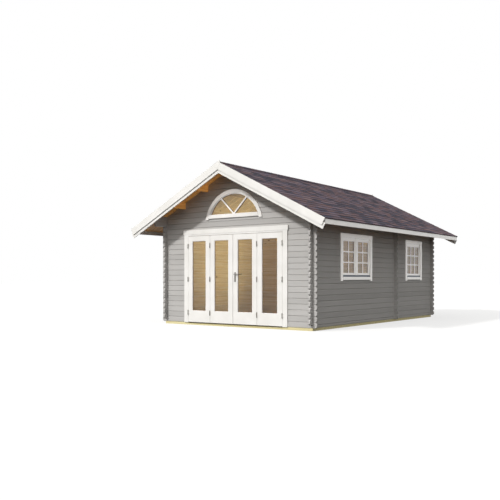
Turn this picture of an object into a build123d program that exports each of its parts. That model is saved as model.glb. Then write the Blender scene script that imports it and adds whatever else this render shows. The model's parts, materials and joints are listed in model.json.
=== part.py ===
# Log cabin with a glazed four-leaf front, a gable roof and an arched gable window
# Frame: millimetres, +Z up, origin on the ground under the middle of the roof, front towards -Y
import math
import os

from build123d import *

# Walls
WALL_WIDTH = 3840.0
WALL_LENGTH = 6000.0
LOG_THICKNESS = 44.0
COURSE = 114.0
SEAM = 0.4
LOG_GROOVE = 9.0
TAIL = 92.0
TAIL_BEVEL = 30.0
NOTCH_SHARE = 0.5
PARTITION_SHARE = 0.619
PARTITION_DOOR_WIDTH = 840.0
BASE_HEIGHT = 53.0
BASE_WIDTH = 72.0
JOIST_WIDTH = 60.0
JOISTS = 3
FLOOR_THICKNESS = 20.0
FLOOR_GAP = 2.0
EAVE_LOGS = 2
FRONT_BRACKET = 380.0
BACK_BRACKET = 270.0
SIDE_COURSES = 20
EAVE_CUT = 22.6
SMALLEST_OFFCUT = 40000.0

# Roof
PITCH = 27.0
EAVE_OVERHANG = 560.0
FRONT_OVERHANG = 530.0
BACK_OVERHANG = 420.0
BOARD_THICKNESS = 19.0
COVER_THICKNESS = 8.0
COVER_DRIP = 12.0
CAP_WIDTH = 125.0
CAP_THICKNESS = 4.0
FASCIA_HEIGHT = 96.0
FASCIA_THICKNESS = 20.0
BARGE_WIDTH = 145.0
BARGE_THICKNESS = 22.0
BARGE_RISE = 4.0
BARGE_END = 9.0
BARGE_JOINT = 4.0
STRIP_WIDTH = 120.0
STRIP_SHOWN = 61.0
STRIP_LONGER = 40.0
PURLIN_FACES = (680.0, 1330.0)
PURLIN_WIDTH = 60.0
PURLIN_HEIGHT = 135.0
RIDGE_HEIGHT = 150.0

# Folding front of four glazed leaves
LEAF_PITCH = 617.0
LEAF_GAP = 6.0
MEETING_GAP = 10.0
JAMB_GAP = 4.0
LEAF_CLEARANCE = 6.0
LEAF_THICKNESS = 42.0
LEAF_PROUD = 20.0
STILE = 119.0
TOP_RAIL = 112.0
BOTTOM_RAIL = 244.0
DOOR_COURSES = 17
JAMB_WIDTH = 48.0
HEAD_HEIGHT = 53.0
HEAD_GAP = 6.0
STOP_LIP = 15.0
STOP_GAP = 5.0
OPENING_GAP = 2.0
CASING_THICKNESS = 20.0
DOOR_CASING_WIDTH = 114.0
DOOR_HEAD_EXTRA = 20.0
DOOR_HEAD_LIFT = 40.0
DOOR_HEAD_HEIGHT = 93.0
DOOR_HEAD_THICKNESS = 26.0
THRESHOLD_HEIGHT = 6.0
THRESHOLD_PROUD = 24.0
GLASS_THICKNESS = 14.0
GLASS_BITE = 8.0
GLASS_PLAY = 0.4

# Barrel hinges and lever handles
HINGE_SHARES = (0.11, 0.4976, 0.8853)
BARREL_RADIUS = 8.0
BARREL_HALF = 47.0
BARREL_PROUD = 9.0
BARREL_SPLIT = 0.5
FLAP_WIDTH = 34.0
FLAP_THICKNESS = 3.0
HANDLE_INSET = 55.0
HANDLE_SHARE = 0.523
PLATE_WIDTH = 40.0
PLATE_HEIGHT = 200.0
PLATE_THICKNESS = 6.0
LEVER_LIFT = 60.0
LEVER_LENGTH = 112.0
LEVER_SIZE = 16.0
LEVER_REACH = 46.0

# Side windows, placed along the wall from the front and hung below the door's head
WINDOW_SHARES = (0.3002, 0.8075)
WINDOW_GLASS_WIDTHS = ((480.0, 480.0), (700.0,))
SASH_STILE = 64.0
SASH_GAP = 0.8
SASH_THICKNESS = 40.0
SASH_RECESS = 8.0
GLASS_DROP = 197.0
GLASS_HEIGHT = 670.0
MULLION = 38.0
WINDOW_FRAME_WIDTH = 20.0
WINDOW_FRAME_HEIGHT = 34.0
WINDOW_CASING_WIDTH = 85.0
WINDOW_HEAD_HEIGHT = 79.0
WINDOW_HEAD_EXTRA = 10.0
WINDOW_HEAD_LIFT = 76.0
SILL_DROP = 140.0
SILL_HEIGHT = 60.0
FEET_DROP = 27.0
SILL_THICKNESS = 30.0

# Arched gable window
ARCH_LIFT = 127.0
ARCH_GLASS_RADIUS = 664.0
ARCH_FRAME = 38.0
ARCH_CASING_GAP = 12.0
ARCH_CASING_WIDTH = 76.0
ARCH_GLASS_LIFT = 245.0
ARCH_SILL_HEIGHT = 78.0
ARCH_SILL_THICKNESS = 28.0
ARCH_FEET_LIFT = 141.0
ARCH_GLASS_DEPTH = 22.0

# How far cuts run past the surface they open
OVERRUN = 50.0

# Sizes that follow from the ones above
SLOPE = math.tan(math.radians(PITCH))
RISE = math.sin(math.radians(PITCH))
RUN = math.cos(math.radians(PITCH))
HALF_WIDTH = WALL_WIDTH / 2
HALF_DEPTH = (WALL_LENGTH + FRONT_OVERHANG + BACK_OVERHANG) / 2
FRONT_FACE = FRONT_OVERHANG - HALF_DEPTH
BACK_FACE = FRONT_FACE + WALL_LENGTH
EAVE = HALF_WIDTH + EAVE_OVERHANG
BARGE_BACK = HALF_DEPTH - BARGE_THICKNESS
STRIP_BACK = BARGE_BACK - BARGE_THICKNESS
WALL_TOP = BASE_HEIGHT + COURSE / 2 + SIDE_COURSES * COURSE - EAVE_CUT
BOARD_APEX = WALL_TOP + SLOPE * HALF_WIDTH
ROOF_APEX = BOARD_APEX + (COVER_THICKNESS + BOARD_THICKNESS) / RUN
BARGE_APEX = ROOF_APEX + BARGE_RISE / RUN
DOOR_TOP = BASE_HEIGHT + DOOR_COURSES * COURSE
NOTCH = COURSE * NOTCH_SHARE
PARTITION_FACE = WALL_LENGTH * PARTITION_SHARE
LEAF_BOTTOM = BASE_HEIGHT + THRESHOLD_HEIGHT + LEAF_CLEARANCE
LEAF_TOP = DOOR_TOP - OPENING_GAP - HEAD_HEIGHT - HEAD_GAP
LEAF_HEIGHT = LEAF_TOP - LEAF_BOTTOM
LEAF_FACE = FRONT_FACE - LEAF_PROUD
LEAF_BACK = LEAF_FACE + LEAF_THICKNESS
JAMB = LEAF_PITCH * 2 + JAMB_GAP / 2
DOOR_HALF = JAMB + JAMB_WIDTH + OPENING_GAP
DOOR_HEAD_BOTTOM = LEAF_TOP + DOOR_HEAD_LIFT
HINGE_AXIS = LEAF_FACE - BARREL_PROUD
HANDLE_MIDDLE = LEAF_BOTTOM + LEAF_HEIGHT * HANDLE_SHARE
GLASS_TOP = DOOR_TOP - GLASS_DROP
GLASS_BOTTOM = GLASS_TOP - GLASS_HEIGHT
WINDOW_HEAD_BOTTOM = GLASS_TOP + WINDOW_HEAD_LIFT
SILL_BOTTOM = GLASS_BOTTOM - SILL_DROP
WINDOW_FEET = SILL_BOTTOM - FEET_DROP
ARCH_CENTRE = DOOR_TOP + ARCH_LIFT
ARCH_GLASS_BOTTOM = ARCH_CENTRE + ARCH_GLASS_LIFT
ARCH_FEET = ARCH_CENTRE + ARCH_FEET_LIFT
ARCH_CASING_INNER = ARCH_GLASS_RADIUS + ARCH_CASING_GAP
ARCH_CASING_OUTER = ARCH_CASING_INNER + ARCH_CASING_WIDTH


def box(x_low, x_high, y_low, y_high, z_low, z_high):
    """A block between two corners."""
    size = Box(x_high - x_low, y_high - y_low, z_high - z_low)
    return Pos((x_low + x_high) / 2, (y_low + y_high) / 2, (z_low + z_high) / 2) * size


def prism(outline, y_low, y_high):
    """An outline of (x, z) points carried from one depth to another."""
    wire = Wire.make_polygon([(x, y_low, z) for x, z in outline], close=True)
    return extrude(Face(wire), amount=y_high - y_low, dir=(0, 1, 0))


def under_roof(x):
    """Height of the roof boards' underside at a distance from the middle."""
    return BOARD_APEX - SLOPE * abs(x)


def save(name, pieces):
    """Write a node's separate solids as one file."""
    solids = [solid for piece in pieces for solid in piece.solids()]
    print(name, len(solids))
    export_step(Compound(children=solids, label=name), os.path.join("parts", name + ".step"))


def log_outline(start, end, bottom, top, crossings, bevel):
    """Side view of a log: bevelled tails and a notch half its height under each crossing."""
    outline = [(start + bevel, bottom)]
    for crossing in crossings:
        near = crossing - SEAM
        far = crossing + LOG_THICKNESS + SEAM
        outline += [(near, bottom), (near, bottom + NOTCH), (far, bottom + NOTCH), (far, bottom)]
    outline.append((end - bevel, bottom))
    if bevel:
        outline += [(end, bottom + bevel), (end, top - bevel)]
    outline += [(end - bevel, top), (start + bevel, top)]
    if bevel:
        outline += [(start, top - bevel), (start, bottom + bevel)]
    return outline


def make_log(start, end, bottom, height, crossings=(), bevel=TAIL_BEVEL, groove=LOG_GROOVE):
    """One log along X with its outer face at y = 0 and that face's long edges bevelled."""
    top = bottom + height - SEAM
    log = prism(log_outline(start, end, bottom, top, crossings, bevel), 0, LOG_THICKNESS)
    if not groove:
        return log
    corners = [(0, bottom + groove), (groove, bottom), (LOG_THICKNESS, bottom)]
    corners += [(LOG_THICKNESS, top), (groove, top), (0, top - groove)]
    section = Wire.make_polygon([(start, y, z) for y, z in corners], close=True)
    return log & extrude(Face(section), amount=end - start, dir=(1, 0, 0))


def roof_space(y_low, y_high):
    """Everything below the roof boards between two depths."""
    reach = EAVE + OVERRUN
    low = -OVERRUN
    outline = [(-reach, low), (reach, low), (reach, under_roof(reach) - SEAM)]
    outline += [(0, BOARD_APEX - SEAM), (-reach, under_roof(reach) - SEAM)]
    return prism(outline, y_low, y_high)


def purlin_outline(face):
    """End view of a purlin whose ridge-side face stands at a distance from the middle."""
    far = face + PURLIN_WIDTH
    low = under_roof(face) - PURLIN_HEIGHT
    return [(face, low), (far, low), (far, under_roof(far)), (face, under_roof(face))]


def make_purlins(play, reach):
    """Ridge beam and purlins, or the holes for them when play is given."""
    half = PURLIN_WIDTH / 2
    low = BOARD_APEX - RIDGE_HEIGHT
    top = BOARD_APEX + play
    ridge = [(-half - play, low - play), (half + play, low - play)]
    ridge += [(half + play, under_roof(half) + play), (0, top), (-half - play, under_roof(half) + play)]
    pieces = [prism(ridge, -reach, reach)]
    for face in PURLIN_FACES:
        (x0, z0), (x1, z1), (x2, z2), (x3, z3) = purlin_outline(face)
        outline = [(x0 - play, z0 - play), (x1 + play, z1 - play)]
        outline += [(x2 + play, z2 + play), (x3 - play, z3 + play)]
        pieces.append(prism(outline, -reach, reach))
        pieces.append(prism([(-x, z) for x, z in outline], -reach, reach))
    return pieces


SIDE_START = BASE_HEIGHT + COURSE / 2
SIDE_LAST = SIDE_START + (SIDE_COURSES - 1) * COURSE
INNER_HALF = HALF_WIDTH - LOG_THICKNESS


def cross_wall(groove=LOG_GROOVE):
    """Logs of a wall across the cabin, full width up to the eaves and then up to the ridge."""
    reach = HALF_WIDTH + TAIL
    crossings = (-HALF_WIDTH, INNER_HALF)
    roof = roof_space(-OVERRUN, LOG_THICKNESS + OVERRUN)
    holes = make_purlins(SEAM, OVERRUN + LOG_THICKNESS)
    low_purlin = under_roof(PURLIN_FACES[-1]) - PURLIN_HEIGHT - COURSE
    logs = []
    bottom = BASE_HEIGHT
    while bottom < BOARD_APEX - COURSE / 2:
        if bottom < SIDE_LAST:
            notches = crossings if bottom > BASE_HEIGHT else ()
            log = make_log(-reach, reach, bottom, COURSE, notches, groove=groove)
        else:
            inner = INNER_HALF - SEAM
            log = make_log(-inner, inner, bottom, COURSE, bevel=0, groove=groove)
        if bottom + COURSE > under_roof(reach):
            log = log & roof
        if bottom > low_purlin:
            log = log - holes
        logs += [(bottom, solid) for solid in log.solids() if solid.volume > SMALLEST_OFFCUT]
        bottom += COURSE
    return logs


def cut_openings(logs, cutters, low, high):
    """Cut openings through the logs between two heights."""
    kept = []
    for bottom, log in logs:
        if bottom + COURSE > low and bottom < high:
            solids = (log - cutters).solids()
            kept += [(bottom, solid) for solid in solids if solid.volume > SMALLEST_OFFCUT]
        else:
            kept.append((bottom, log))
    return kept


def side_wall(front_is_start, openings):
    """Logs of a side wall along X, its first log half as tall, its last one under the roof."""
    partition = PARTITION_FACE
    crossings = (0, partition, WALL_LENGTH - LOG_THICKNESS)
    near, far = FRONT_BRACKET, BACK_BRACKET
    if not front_is_start:
        crossings = (0, WALL_LENGTH - partition - LOG_THICKNESS, WALL_LENGTH - LOG_THICKNESS)
        near, far = BACK_BRACKET, FRONT_BRACKET
    logs = []
    for before, after in zip(crossings, crossings[1:]):
        start, end = before + LOG_THICKNESS + SEAM, after - SEAM
        logs.append((BASE_HEIGHT, make_log(start, end, BASE_HEIGHT, COURSE / 2, bevel=0)))
    slope = [(-LOG_THICKNESS, 0), (-LOG_THICKNESS, under_roof(HALF_WIDTH + LOG_THICKNESS) - SEAM)]
    slope += [(LOG_THICKNESS * 2, under_roof(HALF_WIDTH - LOG_THICKNESS * 2) - SEAM), (LOG_THICKNESS * 2, 0)]
    reach = WALL_LENGTH + OVERRUN + near + far
    wire = Wire.make_polygon([(-reach, y, z) for y, z in slope], close=True)
    roof = extrude(Face(wire), amount=reach * 2, dir=(1, 0, 0))
    for course in range(SIDE_COURSES):
        bottom = SIDE_START + course * COURSE
        long = course >= SIDE_COURSES - EAVE_LOGS
        start = -near if long else -TAIL
        end = WALL_LENGTH + (far if long else TAIL)
        log = make_log(start, end, bottom, COURSE, crossings)
        if bottom + COURSE > under_roof(HALF_WIDTH) - SEAM:
            log = log & roof
        logs += [(bottom, solid) for solid in log.solids()]
    if not openings:
        return logs
    low = min(z_low for x_low, x_high, z_low, z_high in openings)
    high = max(z_high for x_low, x_high, z_low, z_high in openings)
    cutters = [box(x0, x1, -OVERRUN, LOG_THICKNESS + OVERRUN, z0, z1) for x0, x1, z0, z1 in openings]
    return cut_openings(logs, cutters, low, high)


def arch(radius, bottom, y_low, y_high):
    """The part of a disc above a level, carried from one depth to another."""
    plane = Plane((0, y_high, ARCH_CENTRE), x_dir=(1, 0, 0), z_dir=(0, -1, 0))
    rise = bottom - ARCH_CENTRE
    window = Circle(radius) & Pos(0, rise + radius) * Rectangle(radius * 3, radius * 2)
    return extrude(plane * window, amount=y_high - y_low)


def pane(x_low, x_high, y_middle, z_low, z_high, play):
    """A glass pane that reaches into its groove, or the groove when play is given."""
    bite = GLASS_BITE + play
    half = GLASS_THICKNESS / 2 + play
    return box(x_low - bite, x_high + bite, y_middle - half, y_middle + half, z_low - bite, z_high + bite)


def make_leaf(x_low, x_high):
    """A leaf of stiles and rails with its glass in a groove."""
    inner = (x_low + STILE, x_high - STILE)
    low, high = LEAF_BOTTOM + BOTTOM_RAIL, LEAF_TOP - TOP_RAIL
    middle = (LEAF_FACE + LEAF_BACK) / 2
    leaf = box(x_low, x_high, LEAF_FACE, LEAF_BACK, LEAF_BOTTOM, LEAF_TOP)
    hole = box(*inner, LEAF_FACE - OVERRUN, LEAF_BACK + OVERRUN, low, high)
    glass = pane(*inner, middle, low, high, 0)
    return leaf - [hole, pane(*inner, middle, low, high, GLASS_PLAY)], glass


def barrel(x, z_low, z_high, sides):
    """A hinge barrel with flaps seated on the wood to the given sides."""
    hinge = Pos(x, HINGE_AXIS, (z_low + z_high) / 2) * Cylinder(BARREL_RADIUS, z_high - z_low)
    for side in sides:
        ends = sorted((x, x + side * FLAP_WIDTH))
        hinge += box(*ends, LEAF_FACE - FLAP_THICKNESS, LEAF_FACE, z_low, z_high)
    return hinge


def barge_point(along, down, side):
    """A point in the gable plane: along the slope from the ridge line and square below it."""
    x = along * RUN - down * RISE
    z = BARGE_APEX - along * RISE - down * RUN
    return side * x, z


def make_barge(y_low, y_high):
    """A pair of barge boards: one ends square on its lower corner, the other runs past it."""
    foot = (EAVE + BARGE_END) / RUN
    apex = BARGE_WIDTH * SLOPE
    butt = [barge_point(apex, 0, 1), barge_point(foot, 0, 1), barge_point(foot, BARGE_WIDTH, 1)]
    butt.append(barge_point(apex, BARGE_WIDTH, 1))
    corner = barge_point(apex, 0, 1)
    low = barge_point(apex, BARGE_WIDTH, 1)
    past = BARGE_WIDTH * math.sin(math.radians(PITCH * 2))
    tip = barge_point(apex - past, 0, -1)
    run = [tip, barge_point(foot, 0, -1), barge_point(foot, BARGE_WIDTH, -1)]
    run += [(low[0] - BARGE_JOINT, low[1]), (corner[0] - BARGE_JOINT, corner[1])]
    return [prism(butt, y_low, y_high), prism(run, y_low, y_high)]


def make_strip(y_low, y_high):
    """A pair of lower strips behind the barge boards, mitred under the ridge."""
    foot = (EAVE + BARGE_END) / RUN + STRIP_LONGER
    low = BARGE_WIDTH + STRIP_SHOWN
    high = low - STRIP_WIDTH
    pieces = []
    for side in (-1, 1):
        shift = side * SEAM
        peak = [(shift, BARGE_APEX - low / RUN), (shift, BARGE_APEX - high / RUN)]
        ends = [barge_point(foot, high, side), barge_point(foot, low, side)]
        pieces.append(prism(peak + ends, y_low, y_high))
    return pieces


def slope_layer(side, lower, upper, end):
    """A sloping layer between two depths below the roof's top, from the ridge to a distance out."""
    top = ROOF_APEX - upper / RUN
    base = ROOF_APEX - lower / RUN
    outline = [(x * side, z - SLOPE * x) for x, z in ((SEAM, top), (end, top), (end, base), (SEAM, base))]
    return prism(outline, -BARGE_BACK, BARGE_BACK)


def make_base():
    """Ground beams under the walls and joists under the floors."""
    gap = SEAM
    out, inner = HALF_WIDTH, HALF_WIDTH - BASE_WIDTH
    front, back = FRONT_FACE + BASE_WIDTH, BACK_FACE - BASE_WIDTH
    middle = FRONT_FACE + PARTITION_FACE + LOG_THICKNESS / 2
    cross_low, cross_high = middle - BASE_WIDTH / 2, middle + BASE_WIDTH / 2
    beams = [box(-out, out, FRONT_FACE, front, 0, BASE_HEIGHT)]
    beams.append(box(-out, out, back, BACK_FACE, 0, BASE_HEIGHT))
    for side in (-1, 1):
        ends = sorted((side * inner, side * out))
        beams.append(box(*ends, front + gap, back - gap, 0, BASE_HEIGHT))
    beams.append(box(gap - inner, inner - gap, cross_low, cross_high, 0, BASE_HEIGHT))
    for index in range(JOISTS):
        x = (index - (JOISTS - 1) / 2) * inner * 2 / (JOISTS + 1)
        ends = (x - JOIST_WIDTH / 2, x + JOIST_WIDTH / 2)
        beams.append(box(*ends, front + gap, cross_low - gap, 0, BASE_HEIGHT))
        beams.append(box(*ends, cross_high + gap, back - gap, 0, BASE_HEIGHT))
    return beams


def make_floors():
    """Floor slabs of the two rooms."""
    out = INNER_HALF - FLOOR_GAP
    front = FRONT_FACE + LOG_THICKNESS + FLOOR_GAP
    back = BACK_FACE - LOG_THICKNESS - FLOOR_GAP
    middle = FRONT_FACE + PARTITION_FACE
    top = BASE_HEIGHT + FLOOR_THICKNESS
    first = box(-out, out, front, middle - FLOOR_GAP, BASE_HEIGHT, top)
    second = box(-out, out, middle + LOG_THICKNESS + FLOOR_GAP, back, BASE_HEIGHT, top)
    return [first, second]


def make_door_frame():
    """Jambs and head of the front opening, each with a stop behind the leaves."""
    back = FRONT_FACE + LOG_THICKNESS
    stop = LEAF_BACK + STOP_GAP
    head = LEAF_TOP + HEAD_GAP
    top = DOOR_TOP - OPENING_GAP
    far = JAMB + JAMB_WIDTH
    pieces = []
    for side in (-1, 1):
        body = box(*sorted((side * JAMB, side * far)), FRONT_FACE, back, BASE_HEIGHT, head - SEAM)
        ends = sorted((side * (JAMB - STOP_LIP), side * far))
        lip = box(*ends, stop, back, LEAF_BOTTOM, head - STOP_LIP - SEAM)
        pieces.append(body + lip)
    beam = box(-far, far, FRONT_FACE, back, head, top)
    lip = box(SEAM + STOP_LIP - JAMB, JAMB - STOP_LIP - SEAM, stop, back, head - STOP_LIP, top)
    pieces.append(beam + lip)
    return pieces


def make_door_casing():
    """Outer boards round the front opening."""
    face = FRONT_FACE - CASING_THICKNESS
    far = JAMB + DOOR_CASING_WIDTH
    head = DOOR_HEAD_BOTTOM
    pieces = [box(*sorted((s * JAMB, s * far)), face, FRONT_FACE, BASE_HEIGHT, head - SEAM) for s in (-1, 1)]
    low = LEAF_TOP + HEAD_GAP
    pieces.append(box(SEAM - JAMB, JAMB - SEAM, face, FRONT_FACE, low, head - SEAM))
    half = far + DOOR_HEAD_EXTRA
    front = FRONT_FACE - DOOR_HEAD_THICKNESS
    pieces.append(box(-half, half, front, FRONT_FACE, head, head + DOOR_HEAD_HEIGHT))
    return pieces


def make_handle(x):
    """Lever handles on both faces of a leaf."""
    pieces = []
    for face, out in ((LEAF_FACE, -1), (LEAF_BACK, 1)):
        low, high = HANDLE_MIDDLE - PLATE_HEIGHT / 2, HANDLE_MIDDLE + PLATE_HEIGHT / 2
        depth = sorted((face, face + out * PLATE_THICKNESS))
        plate = box(x - PLATE_WIDTH / 2, x + PLATE_WIDTH / 2, *depth, low, high)
        height = HANDLE_MIDDLE + LEVER_LIFT
        spindle = Rot(90, 0, 0) * Cylinder(LEVER_SIZE / 2, LEVER_REACH)
        stem = Pos(x, face + out * LEVER_REACH / 2, height) * spindle
        reach = sorted((face + out * (LEVER_REACH - LEVER_SIZE), face + out * LEVER_REACH))
        grip = (height - LEVER_SIZE / 2, height + LEVER_SIZE / 2)
        lever = box(x - LEVER_SIZE / 2, x + LEVER_LENGTH, *reach, *grip)
        pieces.append(plate + stem + lever)
    return pieces


def on_right_wall(piece):
    """Turn a piece built along X onto the right wall, its start at the front wall's face."""
    return Pos(HALF_WIDTH, FRONT_FACE, 0) * Rot(0, 0, 90) * piece


def window_sizes(widths):
    """Half widths of a window's sash field, frame and casing."""
    field = sum(widths) + SASH_STILE * 2 * len(widths) + SASH_GAP * 2 * len(widths)
    field += (MULLION if len(widths) > 1 else 0)
    return field / 2, field / 2 + WINDOW_FRAME_WIDTH, field / 2 + WINDOW_CASING_WIDTH


def window_levels():
    """Bottom and top of the sashes and of the frame round them."""
    low, high = GLASS_BOTTOM - SASH_STILE, GLASS_TOP + SASH_STILE
    return low, high, low - SASH_GAP - WINDOW_FRAME_HEIGHT, high + SASH_GAP + WINDOW_FRAME_HEIGHT


def make_window(middle, widths):
    """Casing, frame, sashes and glass of a side window, built along X with the wall's face at y = 0."""
    field, outer, casing = window_sizes(widths)
    low, high, frame_low, frame_high = window_levels()
    x0, x1 = middle - field, middle + field
    frame = box(middle - outer, middle + outer, 0, LOG_THICKNESS, frame_low, frame_high)
    sashes, glasses, holes = [], [], []
    x = x0
    for width in widths:
        sash_low, sash_high = x + SASH_GAP, x + SASH_GAP + SASH_STILE * 2 + width
        holes.append(box(x, sash_high + SASH_GAP, -OVERRUN, OVERRUN * 2, low - SASH_GAP, high + SASH_GAP))
        inner = (sash_low + SASH_STILE, sash_high - SASH_STILE)
        back = SASH_RECESS + SASH_THICKNESS
        depth = SASH_RECESS + SASH_THICKNESS / 2
        light = box(*inner, -OVERRUN, OVERRUN * 2, GLASS_BOTTOM, GLASS_TOP)
        groove = pane(*inner, depth, GLASS_BOTTOM, GLASS_TOP, GLASS_PLAY)
        sashes.append(box(sash_low, sash_high, SASH_RECESS, back, low, high) - [light, groove])
        glasses.append(pane(*inner, depth, GLASS_BOTTOM, GLASS_TOP, 0))
        x = sash_high + SASH_GAP + MULLION
    frame = frame - holes
    face = -CASING_THICKNESS
    head = WINDOW_HEAD_BOTTOM
    sides = [(middle - casing, x0), (x1, middle + casing)]
    boards = [box(*ends, face, 0, WINDOW_FEET, head - SEAM) for ends in sides]
    wide = casing + WINDOW_HEAD_EXTRA
    boards.append(box(middle - wide, middle + wide, face, 0, head, head + WINDOW_HEAD_HEIGHT))
    boards.append(box(x0 + SEAM, x1 - SEAM, -SILL_THICKNESS, 0, SILL_BOTTOM, SILL_BOTTOM + SILL_HEIGHT))
    return boards, [frame], sashes, glasses


def make_arch_window():
    """Casing, frame and glass of the arched gable window."""
    face = FRONT_FACE - CASING_THICKNESS
    outer = ARCH_GLASS_RADIUS + ARCH_FRAME
    rail = ARCH_GLASS_BOTTOM - ARCH_FRAME
    ring = arch(ARCH_CASING_OUTER, ARCH_FEET, face, FRONT_FACE)
    ring -= arch(ARCH_CASING_INNER, ARCH_FEET - OVERRUN, face - OVERRUN, FRONT_FACE + OVERRUN)
    sill_low = ARCH_GLASS_BOTTOM - ARCH_SILL_HEIGHT
    sill = arch(ARCH_CASING_INNER - SEAM, sill_low, FRONT_FACE - ARCH_SILL_THICKNESS, FRONT_FACE)
    reach = ARCH_CASING_OUTER
    above = (ARCH_GLASS_BOTTOM, ARCH_CENTRE + reach * 2)
    sill -= box(-reach, reach, face - OVERRUN, FRONT_FACE + OVERRUN, *above)
    back = FRONT_FACE + LOG_THICKNESS
    frame = arch(outer, rail, FRONT_FACE, back)
    frame -= arch(ARCH_GLASS_RADIUS, ARCH_GLASS_BOTTOM, FRONT_FACE - OVERRUN, back + OVERRUN)
    middle = FRONT_FACE + ARCH_GLASS_DEPTH
    half = GLASS_THICKNESS / 2
    bite, play = GLASS_BITE, GLASS_PLAY
    glass = arch(ARCH_GLASS_RADIUS + bite, ARCH_GLASS_BOTTOM - bite, middle - half, middle + half)
    bite += play
    depths = (middle - half - play, middle + half + play)
    groove = arch(ARCH_GLASS_RADIUS + bite, ARCH_GLASS_BOTTOM - bite, *depths)
    return [ring, sill], [frame - groove], [glass]


os.makedirs("parts", exist_ok=True)

# Ground beams and floors
save("foundation_beams", make_base())
save("floor", make_floors())

# Log walls
front = [(z, Pos(0, FRONT_FACE, 0) * log) for z, log in cross_wall()]
door_hole = box(-DOOR_HALF, DOOR_HALF, FRONT_FACE - OVERRUN, FRONT_FACE + OVERRUN * 2, 0, DOOR_TOP)
arch_low = ARCH_GLASS_BOTTOM - ARCH_FRAME - OPENING_GAP
arch_radius = ARCH_GLASS_RADIUS + ARCH_FRAME + OPENING_GAP
arch_hole = arch(arch_radius, arch_low, FRONT_FACE - OVERRUN, FRONT_FACE + OVERRUN * 2)
front = cut_openings(front, [door_hole], 0, DOOR_TOP)
front = cut_openings(front, [arch_hole], arch_low, ARCH_CENTRE + arch_radius)
beside = [log for z, log in front if z < DOOR_TOP - COURSE / 2]
save("front_wall_left", [log for log in beside if log.center().X < 0])
save("front_wall_right", [log for log in beside if log.center().X > 0])
save("front_gable", [log for z, log in front if z >= DOOR_TOP - COURSE / 2])
save("back_wall", [Pos(0, BACK_FACE, 0) * Rot(0, 0, 180) * log for z, log in cross_wall()])
partition_hole = box(-PARTITION_DOOR_WIDTH / 2, PARTITION_DOOR_WIDTH / 2, -OVERRUN, OVERRUN * 2, 0, DOOR_TOP)
partition = cut_openings(cross_wall(groove=0), [partition_hole], 0, DOOR_TOP)
save("partition_wall", [Pos(0, FRONT_FACE + PARTITION_FACE, 0) * log for z, log in partition])
openings = []
for share, widths in zip(WINDOW_SHARES, WINDOW_GLASS_WIDTHS):
    middle = WALL_LENGTH * share
    half = window_sizes(widths)[1] + OPENING_GAP
    low, high = window_levels()[2:]
    openings.append((middle - half, middle + half, low - OPENING_GAP, high + OPENING_GAP))
save("right_wall", [on_right_wall(log) for z, log in side_wall(True, openings)])
save("left_wall", [Pos(-HALF_WIDTH, BACK_FACE, 0) * Rot(0, 0, -90) * log for z, log in side_wall(False, [])])

# Roof
save("purlins", make_purlins(0, STRIP_BACK))
boards = COVER_THICKNESS + BOARD_THICKNESS
inside_fascia = EAVE - FASCIA_THICKNESS
for name, side in (("left", -1), ("right", 1)):
    save(name + "_roof_boards", [slope_layer(side, boards, COVER_THICKNESS, inside_fascia)])
    save(name + "_roof_covering", [slope_layer(side, COVER_THICKNESS, 0, EAVE + COVER_DRIP)])
    top_in = ROOF_APEX - COVER_THICKNESS / RUN - SLOPE * inside_fascia
    top_out = ROOF_APEX - COVER_THICKNESS / RUN - SLOPE * EAVE
    low = top_out - FASCIA_HEIGHT
    fascia = [(inside_fascia, low), (EAVE, low), (EAVE, top_out), (inside_fascia, top_in)]
    save(name + "_eave_fascia", [prism([(side * x, z) for x, z in fascia], -STRIP_BACK, STRIP_BACK)])
cap_high = ROOF_APEX + CAP_THICKNESS / RUN
cap_far = CAP_WIDTH * RUN
cap = [(-cap_far, ROOF_APEX - SLOPE * cap_far), (0, ROOF_APEX), (cap_far, ROOF_APEX - SLOPE * cap_far)]
cap += [(cap_far, cap_high - SLOPE * cap_far), (0, cap_high), (-cap_far, cap_high - SLOPE * cap_far)]
save("ridge_cap", [prism(cap, -BARGE_BACK, BARGE_BACK)])
save("front_barge_boards", make_barge(-HALF_DEPTH, -BARGE_BACK))
save("front_barge_strips", make_strip(-BARGE_BACK, -STRIP_BACK))
save("back_barge_boards", make_barge(BARGE_BACK, HALF_DEPTH))
save("back_barge_strips", make_strip(STRIP_BACK, BARGE_BACK))

# Front opening and its four leaves
save("door_frame", make_door_frame())
save("door_casing", make_door_casing())
sill_front = FRONT_FACE - THRESHOLD_PROUD
sill_back = FRONT_FACE + LOG_THICKNESS
sill_top = BASE_HEIGHT + THRESHOLD_HEIGHT
save("door_threshold", [box(SEAM - JAMB, JAMB - SEAM, sill_front, sill_back, BASE_HEIGHT, sill_top)])
outer_glass, jamb_hinges, fixed = [], [], []
for name, side in (("left", -1), ("right", 1)):
    outer_edge = JAMB - JAMB_GAP
    outer = sorted((side * (LEAF_PITCH + LEAF_GAP / 2), side * outer_edge))
    inner = sorted((side * MEETING_GAP / 2, side * (LEAF_PITCH - LEAF_GAP / 2)))
    leaf, glass = make_leaf(*outer)
    save(name + "_outer_leaf", [leaf])
    outer_glass.append(glass)
    leaf, glass = make_leaf(*inner)
    save(name + "_inner_leaf", [leaf])
    save(name + "_inner_glass", [glass])
    moving = []
    for share in HINGE_SHARES:
        height = LEAF_BOTTOM + LEAF_HEIGHT * share
        low, high = height - BARREL_HALF, height + BARREL_HALF
        split = BARREL_SPLIT / 2
        fixed.append(barrel(side * LEAF_PITCH, low, height - split, [side]))
        moving.append(barrel(side * LEAF_PITCH, height + split, high, [-side]))
        jamb_hinges.append(barrel(side * (JAMB - JAMB_GAP / 2), low, high, [-1, 1]))
    save(name + "_inner_hinges", moving)
save("outer_leaf_glass", outer_glass)
save("outer_leaf_hinges", fixed)
save("jamb_hinges", jamb_hinges)
save("door_handles", make_handle(MEETING_GAP / 2 + HANDLE_INSET))

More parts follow.
